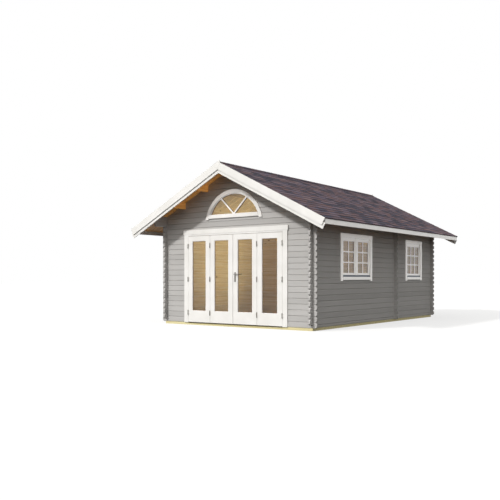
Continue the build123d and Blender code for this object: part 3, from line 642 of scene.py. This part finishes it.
# %% [markdown]
# ## Metal
# The barrels of the hinges are browned steel, and their flaps were painted over together with the leaves.
# The handle is satin steel. The threshold and the rain rails are anodised aluminium. A single grey would
# make them all alike, so each has its own colour and roughness, and a fine grit makes its shine uneven.

# %% Metal materials
# Real grit is well under 1 mm; it is drawn coarser so that it shows.
STEEL_GRIT_MM, ALUMINIUM_GRIT_MM = 3.0, 2.0
FLAP_FACE = -2.968
FLAP_WHITE = "E6E4E0"
PAINT_EDGE = 0.0005


def metal(name, code, roughness, grit_mm, painted_behind=None):
    """Metal with a fine uneven grit in its roughness and relief; behind a given y it is painted white."""
    material, tree = start(name)
    place = add(tree, "TexCoord").outputs["Object"]
    grit = add(tree, "TexNoise", {"Scale": 1000 / grit_mm, "Detail": 3.0}, {"Vector": place})
    rough = add(tree, "MapRange", {3: roughness - 0.1, 4: roughness + 0.1}, {0: grit})
    tone = add(tree, "MapRange", {3: 0.85, 4: 1.15}, {0: grit})
    colour = add(tree, "VectorMath", {"operation": "SCALE", 0: linear(code)[:3]}, {"Scale": tone})
    bump = add(tree, "Bump", {"Strength": 0.1, "Distance": 0.0005}, {"Height": grit})
    links = {"Base Color": colour, "Roughness": rough, "Normal": bump}
    if painted_behind:
        y = add(tree, "SeparateXYZ", {}, {0: place}).outputs[ALONG]
        bare = add(tree, "Math", {"operation": "LESS_THAN", 1: painted_behind}, {0: y})
        painted = add(tree, "Mix", {"data_type": "RGBA", 6: FLAP_WHITE}, {0: bare, 7: colour})
        links |= {"Base Color": painted.outputs[2], "Metallic": bare}
    shader = add(tree, "BsdfPrincipled", {"Metallic": 1.0}, links)
    add(tree, "OutputMaterial", {}, {"Surface": shader})
    return material


# Satin steel gives the eye a soft grey shine without a sharp mirror image.
steel = metal("satin_steel", "8A8883", 0.42, STEEL_GRIT_MM)
# Browned steel is darker and warmer, and the white flaps behind it make the barrels stand out.
hinge_steel = metal("browned_steel_painted_flaps", "6A665F", 0.42, STEEL_GRIT_MM, FLAP_FACE - PAINT_EDGE)
# Anodising leaves aluminium cool and silky; the trodden threshold is darker and duller.
aluminium = metal("anodised_aluminium", "5E666F", 0.36, ALUMINIUM_GRIT_MM)
threshold_metal = metal("dark_anodised_aluminium", "46423E", 0.5, ALUMINIUM_GRIT_MM)
print("metal:", steel.name, hinge_steel.name, aluminium.name, threshold_metal.name)

# %% [markdown]
# ## Finishes for the solids
# The CAD record names a finish for every node. Setting each node by hand would be a long list, so each of
# those names gets its material here, and only the exceptions are listed: logs of the side walls, whose
# grain runs the other way, leaves and windows with a bare inner side, and hinges. The shapes themselves
# stay as they are.

# %% Give every solid its material
FINISHES = {
    "painted_log": logs_across, "treated_timber": ground_wood, "floor_wood": floor_wood,
    "natural_wood": roof_wood, "white_trim": white_trim, "roof_shingle": shingle, "window_glass": glass,
    "dark_steel": steel, "threshold_metal": threshold_metal,
}
LEAVES = ("left_inner_leaf", "right_inner_leaf", "left_outer_leaf", "right_outer_leaf")
HINGES = ("left_inner_hinges", "right_inner_hinges", "outer_leaf_hinges", "jamb_hinges")
OWN_FINISH = {"left_wall": logs_along, "right_wall": logs_along, "purlins": purlin_wood,
              "gable_window_frame": window_trim}
OWN_FINISH |= dict.fromkeys(("window_frames", "window_sashes", "window_casings"), shade_lifted_joinery_trim)
OWN_FINISH |= dict.fromkeys(("door_frame", *LEAVES), leaf_trim)
OWN_FINISH |= dict.fromkeys(HINGES, hinge_steel)
slot_of = {row["node"]: row["material_slot"] for row in frame["record"]["subparts"]}
for node, solid in frame["nodes"].items():
    solid.data.materials.clear()
    solid.data.materials.append(OWN_FINISH.get(node, FINISHES[slot_of[node]]))
print("finished solids:", len(slot_of), "in", len(set(slot_of.values())), "finishes")

# %% [markdown]
# ## Shapes as arrays
# Every new piece below is worked out as arrays of points. Most are a profile carried along a path, the way
# a moulding is run through a planing machine; turned parts are a profile spun round an axis. Blender's own
# curve and screw tools could do it too, but with arrays every point is known and can be checked.

# %% Helpers for shapes
X, Y, Z = np.eye(3)


def cells(rows, columns, wrap_rows, wrap_columns):
    """Corners of the cells of a grid of points, counted row by row; wrapped sides join last to first."""
    down, along = np.arange(rows - (not wrap_rows)), np.arange(columns - (not wrap_columns))
    row, column = (v.ravel() for v in np.meshgrid(down, along, indexing="ij"))
    below, beside = (row + 1) % rows, (column + 1) % columns
    upper, lower = row * columns, below * columns
    return np.stack((upper + column, upper + beside, lower + beside, lower + column), 1)


def carry(profile, origins, across, out, closed=False):
    """A closed profile of an even number of points along a path: origin + a * across + b * out everywhere."""
    profile, origins, across, out = (np.asarray(v, float) for v in (profile, origins, across, out))
    grid = origins[:, None] + profile[None, :, :1] * across[:, None] + profile[None, :, 1:] * out[:, None]
    count, size = grid.shape[:2]
    faces = cells(count, size, closed, True)
    if not closed:
        j = np.arange(size // 2 - 1)
        cap = np.stack((j, j + 1, size - 2 - j, size - 1 - j), 1)
        faces = np.concatenate((faces, cap, cap + (count - 1) * size))
    return grid.reshape(-1, 3), faces


def turned(profile, centre, axis, sides=16):
    """A profile of radius and height spun round an axis: centre + height * axis + radius * (cos t, sin t)."""
    axis = np.asarray(axis, float)
    first = np.roll(axis, 1)
    second = np.cross(axis, first)
    turn = np.linspace(0, 2 * np.pi, sides, endpoint=False)
    ring = np.cos(turn)[:, None] * first + np.sin(turn)[:, None] * second
    profile = np.asarray(profile, float)
    grid = np.asarray(centre) + profile[:, None, 1:] * axis + profile[:, None, :1] * ring[None]
    return grid.reshape(-1, 3), cells(len(profile), sides, False, True)


print("a grid of 3 by 4 points has", len(cells(3, 4, False, False)), "cells")

# %% [markdown]
# ## From arrays to a piece
# A piece is often many small parts, such as all the bars of a window. Each part could be an object of its
# own, but one mesh is easier to handle. One function joins the parts, turns all faces outwards, gives the
# piece its finish and fixes it to the body of the cabin that it moves with.

# %% Join parts into a piece
MERGE_WITHIN = 1e-6


def make_piece(name, parts, finish, body, tones=None):
    """Joins parts into one mesh with its faces outwards, gives it a finish and lets it ride on a body."""
    starts = np.cumsum([0] + [len(points) for points, faces in parts[:-1]])
    points = np.concatenate([points for points, faces in parts])
    faces = np.concatenate([part[1] + first for part, first in zip(parts, starts)])
    mesh = bpy.data.meshes.new(name)
    mesh.from_pydata(points.tolist(), [], faces.tolist())
    if tones is not None:
        mesh.attributes.new("tab_tone", "FLOAT", "FACE").data.foreach_set("value", tones)
    work = bmesh.new()
    work.from_mesh(mesh)
    bmesh.ops.remove_doubles(work, verts=work.verts, dist=MERGE_WITHIN)
    bmesh.ops.recalc_face_normals(work, faces=work.faces)
    work.to_mesh(mesh)
    work.free()
    mesh.materials.append(finish)
    piece = put(name, mesh)
    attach(piece, body)
    print(name, "faces", len(mesh.polygons), "on", body)
    return piece


print("points closer than", MERGE_WITHIN, "m become one")

# %% [markdown]
# ## Shingle courses
# A bitumen shingle is a strip cut into tabs. The strips are nailed on from the eave upwards, each course
# covering half of the one below and shifted by half a tab, so that every joint is covered. They could be a
# picture on a flat slope, but from this low camera the edge of every course catches the light, so each tab
# is a thin slab. A slab lies on the roof at its hidden upper end and on the course below at its lower end.

# %% Shingles on both slopes
TAB = 0.333
SMALLEST_TAB = 0.02
SLOT = 0.006
FELT = 0.0032
COVER_GAP_HALF = 0.0004
ROOF_TOP = cover_high.z + COVER_GAP_HALF * math.tan(PITCH)
END_CLEAR = 0.003
ROOF_END = cover_high.y - END_CLEAR
RIDGE_CLEAR = 0.01
# A roofer's hand: courses shift by a share of a tab, edges by some millimetres, and tabs lift a little.
UNEVEN_SHIFT, UNEVEN_EDGE, UNEVEN_LIFT = 0.06, 0.004, 0.0012
chance = np.random.default_rng(27)


def on_roof(side, down, along, above):
    """A point on a slope: down from the ridge line, along the ridge, and square above the covering."""
    x = side * (down * math.cos(PITCH) + above * math.sin(PITCH))
    z = ROOF_TOP - down * math.sin(PITCH) + above * math.cos(PITCH)
    return np.stack(np.broadcast_arrays(x, along, z), -1)


def lay_shingles(side):
    """Tabs as slabs of eight corners: three felts high at the lower edge, one at the hidden upper edge."""
    courses = int(EAVE_RUN / EXPOSED)
    columns = int(2 * ROOF_END / TAB) + 3
    course, column = (v.ravel() for v in np.meshgrid(np.arange(courses), np.arange(columns), indexing="ij"))
    shift = np.where(course % 2, 0.5, 0.0) + chance.uniform(-UNEVEN_SHIFT, UNEVEN_SHIFT, courses)[course]
    left = -ROOF_END + (column - 1 + shift) * TAB
    ends = np.clip(np.stack((left + SLOT / 2, left + TAB - SLOT / 2), -1), -ROOF_END, ROOF_END)
    whole = ends[:, 1] - ends[:, 0] > SMALLEST_TAB
    course, ends = course[whole], ends[whole]
    low = EAVE_RUN - course * EXPOSED + chance.uniform(-UNEVEN_EDGE, UNEVEN_EDGE, len(course))
    high = np.maximum(low - 2 * EXPOSED, RIDGE_CLEAR)
    down = np.stack((high, high, low, low), -1)
    along = ends[:, (0, 1, 1, 0)]
    lift = np.tile(FELT * np.array((1.0, 1.0, 3.0, 3.0)), (len(course), 1))
    lift[:, 2:] += chance.uniform(0, UNEVEN_LIFT, (len(course), 1))
    top = on_roof(side, down, along, lift)
    base = on_roof(side, down, along, lift - FELT)
    points = np.concatenate((top, base), 1).reshape(-1, 3)
    slab = np.array([(0, 1, 2, 3), (7, 6, 5, 4), (3, 2, 6, 7), (1, 0, 4, 5), (0, 3, 7, 4), (2, 1, 5, 6)])
    faces = (slab[None] + 8 * np.arange(len(course))[:, None, None]).reshape(-1, 4)
    return (points, faces), np.repeat(chance.uniform(0, 1, len(course)), len(slab))


for side, name in ((-1, "left_shingles"), (1, "right_shingles")):
    slabs, tones = lay_shingles(side)
    make_piece(name, [slabs], shingle, "cabin", tones)

# %% [markdown]
# ## Ridge shingles
# Single tabs are bent over the ridge, each covering half of the one before, so the joint of the two slopes
# is closed. A plain bent strip would lose those steps. A bent tab is a bowed strip: the profile goes up one
# slope, round over the ridge and down the other, and is carried along the ridge for twice the length that
# stays in view. The tabs stand for the plain ridge cap of the solid.

# %% Ridge shingles
RIDGE_HALF = 0.125
RIDGE_POINTS = 13
RIDGE_SINK = 0.004
BEND = 0.018
FRONT_LIFT, BACK_LIFT = 5 * FELT, 3.4 * FELT

half = np.linspace(-RIDGE_HALF, RIDGE_HALF, RIDGE_POINTS)
reach = np.sqrt(half ** 2 + BEND ** 2) - BEND
upper = np.stack((half * math.cos(PITCH), ROOF_TOP - RIDGE_SINK - reach * math.sin(PITCH)), 1)
lower = upper - (0, FELT / math.cos(PITCH))
bowed = np.concatenate((upper, lower[::-1]))


def ridge_strip(first, last):
    """A bowed strip between two places on the ridge: x and z of the profile, raised by lift / cos pitch."""
    ends = ((0, first, FRONT_LIFT / math.cos(PITCH)), (0, last, BACK_LIFT / math.cos(PITCH)))
    return carry(bowed, ends, (X, X), (Z, Z))


starts = np.linspace(-ROOF_END, ROOF_END - 2 * EXPOSED, round(2 * ROOF_END / EXPOSED) - 1)
strips = [ridge_strip(at, at + 2 * EXPOSED) for at in starts]
tones = np.repeat(chance.uniform(0.1, 0.9, len(strips)), len(strips[0][1]))
ridge = make_piece("ridge_shingles", strips, shingle, "cabin", tones)
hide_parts("ridge_cap")

# %% [markdown]
# ## Glazing bars
# Each side window is divided by slim bars: one upright and two level bars in each half of the wide window,
# two of each in the narrow one. On the real window they are mouldings laid on both faces of the pane. A box
# would have hard edges, so each bar is one small profile with chamfered edges, carried along a line.

# %% Window bars
BAR = 0.030
BAR_DEPTH = 0.011
# Crossing bars differ a little in depth, so that no two faces share a plane.
LOWER_SHARE = 0.94
PANES = {"wide_left": (-1.7076, -1.2276), "wide_right": (-1.0600, -0.5800), "narrow": (1.550, 2.250)}
UPRIGHTS = {"wide_left": 1, "wide_right": 1, "narrow": 2}
LEVEL_BARS = 2
PANE_LOW, PANE_HIGH = 1.124, 1.794
BAR_PROFILE = np.array(((-1, 0), (-1, 0.45), (-0.6, 1), (0.6, 1), (1, 0.45), (1, 0)))
window_low, window_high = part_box("window_glass")
WINDOW_FACES = ((window_high.x, X), (window_low.x, -X))


def bar(start, end, across, out, width=BAR, depth=BAR_DEPTH):
    """A bar with chamfered edges between two points, lying on the glass and standing out from it."""
    return carry(BAR_PROFILE * (width / 2, depth), (start, end), (across, across), (out, out))


parts = []
for name, (near, far) in PANES.items():
    for face, out in WINDOW_FACES:
        for y in np.linspace(near, far, UPRIGHTS[name] + 2)[1:-1]:
            parts.append(bar((face, y, PANE_LOW), (face, y, PANE_HIGH), Y, out))
        for z in np.linspace(PANE_LOW, PANE_HIGH, LEVEL_BARS + 2)[1:-1]:
            parts.append(bar((face, near, z), (face, far, z), Z, out, depth=BAR_DEPTH * LOWER_SHARE))
make_piece("window_bars", parts, shade_lifted_joinery_trim, "cabin")

# %% [markdown]
# ## Bars of the arched window
# In the arched window two bars spread in a V from the middle of the sill. They are the same moulding. Each
# is cut to end on the arch: its length is where a line at 45 degrees meets the circle. Towards the room the
# bars are as deep as the lining, so that they end flush with it.

# %% Bars of the arched window
ARCH_CENTRE = 2.118
ARCH_RADIUS = 0.664
ARCH_SILL = 2.363
ARCH_BAR = 0.034
ARCH_LINING = 0.020
FOOT_CLEAR = 0.004
arch_low, arch_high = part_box("gable_window_glass")
ARCH_FACES = ((arch_low.y, -Y), (arch_high.y, Y))
rise = ARCH_SILL - ARCH_CENTRE
length = (math.sqrt(2 * ARCH_RADIUS ** 2 - rise ** 2) - rise) / math.sqrt(2)
parts = []
for face, out in ARCH_FACES:
    full_depth = BAR_DEPTH if out[1] < 0 else ROOM_FRONT + ARCH_LINING - face
    for lean, share in ((-1, LOWER_SHARE), (1, 1)):
        along = np.array((lean, 0, 1)) / math.sqrt(2)
        foot = np.array((0, face, ARCH_SILL)) + along * FOOT_CLEAR
        parts.append(bar(foot, foot + along * length, np.cross(along, Y), out, ARCH_BAR, full_depth * share))
make_piece("arch_bars", parts, window_trim, "cabin")
print("arch bar length", round(length, 3))

# %% [markdown]
# ## Inner lining of the arched window
# Inside, a stained lining board runs round the arch and along its sill, and its brown edge shows through
# the glass. It could be cut out of a sheet; here a flat board is carried round the arc, which keeps it
# equally wide. Its two feet are cut level, so the first and last station point sideways.

# %% Inner lining of the arched window
LINING_WIDTH = 0.060
ARCH_STATIONS = 49
RAIL_CLEAR = 0.001


def arch_directions(foot):
    """Unit directions (cos t, 0, sin t) round the arch, between two feet at a height above its centre."""
    first = math.asin(foot / ARCH_RADIUS)
    turn = np.linspace(first, math.pi - first, ARCH_STATIONS)
    return np.stack((np.cos(turn), 0 * turn, np.sin(turn)), 1)


outward = arch_directions(rise - LINING_WIDTH)
stations = np.array((0, ROOM_FRONT, ARCH_CENTRE)) + outward * ARCH_RADIUS
foot_width = math.sqrt((ARCH_RADIUS + LINING_WIDTH) ** 2 - (rise - LINING_WIDTH) ** 2) - stations[0, 0]
outward[0], outward[-1] = X * foot_width / LINING_WIDTH, -X * foot_width / LINING_WIDTH
board = np.array(((0, 0), (0, ARCH_LINING), (LINING_WIDTH, ARCH_LINING), (LINING_WIDTH, 0)))
ring = carry(board, stations, outward, np.tile(Y, (ARCH_STATIONS, 1)))
half_chord = math.sqrt(ARCH_RADIUS ** 2 - rise ** 2)
rail_ends = [(side * (half_chord - RAIL_CLEAR), ROOM_FRONT, ARCH_SILL) for side in (-1, 1)]
rail = carry(board, rail_ends, (-Z, -Z), (Y, Y))
make_piece("arch_lining", [ring, rail], lining_wood, "cabin")

# %% [markdown]
# ## Beads of the door leaves
# Thin beads hold every pane in its groove. A bead is a quarter-round moulding, cut with a mitre at each
# corner. Four straight pieces would leave gaps at the mitres, so one profile is carried round the pane on a
# closed path. The beads of a leaf ride on that leaf.

# %% Beads of the door leaves
BEAD = 0.007
BEAD_PROFILE = np.array(((0, 0), (1, 0), (1, 0.35), (0.8, 0.78), (0.4, 1), (0, 1))) * BEAD
LEAF_PANES = {"left_leaf": [(-0.495, -0.124)], "right_leaf": [(0.124, 0.495)],
              "cabin": [(-1.113, -0.739), (0.739, 1.113)]}
LEAF_FACES = ((pane_low.y, -Y), (pane_high.y, Y))


def pane_bead(low, high, across, up, out):
    """A bead mitred round a pane, given two opposite corners and the pane's directions."""
    low, high = np.asarray(low), np.asarray(high)
    wide, tall = np.dot(high - low, across) * across, np.dot(high - low, up) * up
    corners = (low, low + wide, low + wide + tall, low + tall)
    inward = (across + up, up - across, -across - up, across - up)
    return carry(BEAD_PROFILE, corners, inward, (out,) * 4, closed=True)


for body, panes in LEAF_PANES.items():
    parts = [pane_bead((x0, face, LEAF_PANE_LOW), (x1, face, LEAF_PANE_HIGH), X, Z, out)
             for x0, x1 in panes for face, out in LEAF_FACES]
    make_piece(("outer_leaf" if body == "cabin" else body) + "_beads", parts, leaf_trim, body)

# %% [markdown]
# ## Beads of the windows
# The side windows have the same mitred beads. In the arched window the bead bends with the arch, as a thin
# strip of wood does when it is wetted and nailed in place. A mitre needs straight runs, so here the profile
# is carried along the arc, and a straight bead lies along the sill.

# %% Beads of the windows
parts = [pane_bead((face, near, PANE_LOW), (face, far, PANE_HIGH), Y, Z, out)
         for near, far in PANES.values() for face, out in WINDOW_FACES]
inward = -arch_directions(rise)
for face, out in ARCH_FACES:
    stations = np.array((0, face, ARCH_CENTRE)) - inward * ARCH_RADIUS
    parts.append(carry(BEAD_PROFILE, stations, inward, np.tile(out, (ARCH_STATIONS, 1))))
    ends = [(x, face, ARCH_SILL) for x in (-half_chord, half_chord)]
    parts.append(carry(BEAD_PROFILE, ends, (Z, Z), (out, out)))
make_piece("window_beads", parts, window_trim, "cabin")

# %% [markdown]
# ## Rain rails
# Under each side window a dark aluminium rail throws rain off the foot of the sash. It is a pressed section
# with a flat back, a sloping front and a small lip. A bent sheet could be folded step by step; one profile
# carried along the wall gives the same shape.

# %% Rain rails
RAIL_BACK = 1.9115
RAIL_PROFILE = np.array(((0.000, 1.047), (0.014, 1.046), (0.021, 1.052), (0.022, 1.056), (0.009, 1.082),
                         (0.000, 1.085)))
RAIL_ENDS = ((-1.7700, -0.5176), (1.4874, 2.3126))
parts = [carry(RAIL_PROFILE, [(RAIL_BACK, y, 0) for y in ends], (X, X), (Z, Z)) for ends in RAIL_ENDS]
make_piece("rain_rails", parts, aluminium, "cabin")

# %% [markdown]
# ## Hinge tips and screws
# The barrel hinges end in small turned tips, and their flaps are held by countersunk screws. Plain
# cylinders would look cut off. Both are made on a lathe, so each is a short profile spun round its axis.
# What sits on a moving flap rides on that leaf.

# %% Hinge tips and screws
HINGE_LEVELS = (0.2701, 0.9929, 1.7160)
BARREL_HALF = 0.047
HINGE_Y = -2.974
HINGE_LINES = {-1.234: "cabin", -0.617: "left_leaf", 0.617: "right_leaf", 1.234: "cabin"}
TIP = np.array(((0.0080, -0.001), (0.0080, 0.0012), (0.0062, 0.0024), (0.0050, 0.0032), (0.0062, 0.0052),
                (0.0062, 0.0078), (0.0040, 0.0100), (0.0, 0.0108)))
SCREW = np.array(((0.0046, -0.0010), (0.0046, 0.0004), (0.0034, 0.0010), (0.0012, 0.0012), (0.0010, 0.0006),
                  (0.0, 0.0006)))
SCREW_SIDES = 12
SCREW_REACH = 0.022
SCREW_HEIGHTS = {"moving flap": (0.012, 0.035), "its fixed flap": (-0.035, -0.012), "jamb": (-0.030, 0.030)}

ironwork = {"cabin": [], "left_leaf": [], "right_leaf": []}
for x, body in HINGE_LINES.items():
    for level in HINGE_LEVELS:
        ironwork["cabin"].append(turned(TIP, (x, HINGE_Y, level - BARREL_HALF), -Z))
        ironwork[body].append(turned(TIP, (x, HINGE_Y, level + BARREL_HALF), Z))
        for reach in (-SCREW_REACH, SCREW_REACH):
            flap = "jamb" if body == "cabin" else "moving flap" if reach * x < 0 else "its fixed flap"
            for height in SCREW_HEIGHTS[flap]:
                screw = turned(SCREW, (x + reach, FLAP_FACE, level + height), -Y, SCREW_SIDES)
                ironwork[body if flap == "moving flap" else "cabin"].append(screw)
for body, parts in ironwork.items():
    make_piece(("frame" if body == "cabin" else body) + "_hinge_tips", parts, hinge_steel, body)

# %% [markdown]
# ## Handle details
# The handle plate has a collar round the lever's spindle, a plain lock cylinder and two screws, on both
# faces of the leaf. They could be left to a bump in the material, but the small steps of a turned profile
# catch the light. They ride on the right leaf together with the handle.

# %% Handle collar, lock cylinder and plate screws
COLLAR = np.array(((0.016, -0.001), (0.016, 0.004), (0.0145, 0.0065), (0.0125, 0.008), (0.0095, 0.008)))
CYLINDER = np.array(((0.0105, -0.001), (0.0105, 0.0035), (0.0095, 0.0045), (0.0060, 0.0045),
                     (0.0056, 0.0035), (0.0020, 0.0035), (0.0016, 0.0020), (0.0, 0.0020)))
HANDLE_X = 0.060
PLATE_FACES = ((-2.971, -Y), (-2.917, Y))
SPINDLE_LEVEL, LOCK_LEVEL = 1.1004, 1.010
PLATE_SCREWS = (0.954, 1.127)

parts = []
for face, out in PLATE_FACES:
    parts.append(turned(COLLAR, (HANDLE_X, face, SPINDLE_LEVEL), out, sides=24))
    parts.append(turned(CYLINDER, (HANDLE_X, face, LOCK_LEVEL), out, sides=20))
    for z in PLATE_SCREWS:
        parts.append(turned(SCREW, (HANDLE_X, face, z), out, SCREW_SIDES))
make_piece("handle_details", parts, steel, "right_leaf")

# %% [markdown]
# ## Reflectors
# In the picture the oiled wood under the left roof edge glows, the white frame of the arched window stands
# out in the shade of the gable, and the white joinery and the eave board of the right wall stay bright. A
# studio would hold a reflector beside each of them. More fill light would lift all the shade, so three weak
# lamps do it, and light linking lets each of them reach only the pieces it is meant for.

# %% Reflectors
SIDE_FROM = np.array((0.97, -0.22, 0.08))
SIDE_LEVEL = 0.20
SIDE_SPREAD = 10.0


def light_only(lamp, names):
    """Lets a lamp reach the named pieces and nothing else."""
    chosen = bpy.data.collections.new(lamp.name + "_reaches")
    for name in names:
        chosen.objects.link(frame["nodes"].get(name) or bpy.data.objects[name])
    lamp.light_linking.receiver_collection = chosen


roof_reflector = hang_spot("roof_reflector", place=(1.6, -3.07, 2.05), target=(-1.21, -3.07, 2.75),
                           watts=80.0, spread=44.0, size=0.08)
light_only(roof_reflector, ("purlins", "left_roof_boards"))
arch_reflector = hang_spot("arch_reflector", place=(-0.9, -5.2, 2.2), target=(-0.24, -2.97, 2.88),
                           watts=112.0, spread=32.0, size=0.10, tint=LAMP_WHITE)
light_only(arch_reflector, ("gable_window_casing", "gable_window_frame", "arch_bars"))
side_reflector = shine_from("side_reflector", SIDE_FROM, SIDE_LEVEL, SIDE_SPREAD)
light_only(side_reflector, ("window_casings", "window_frames", "window_sashes", "window_bars",
                            "right_eave_fascia"))
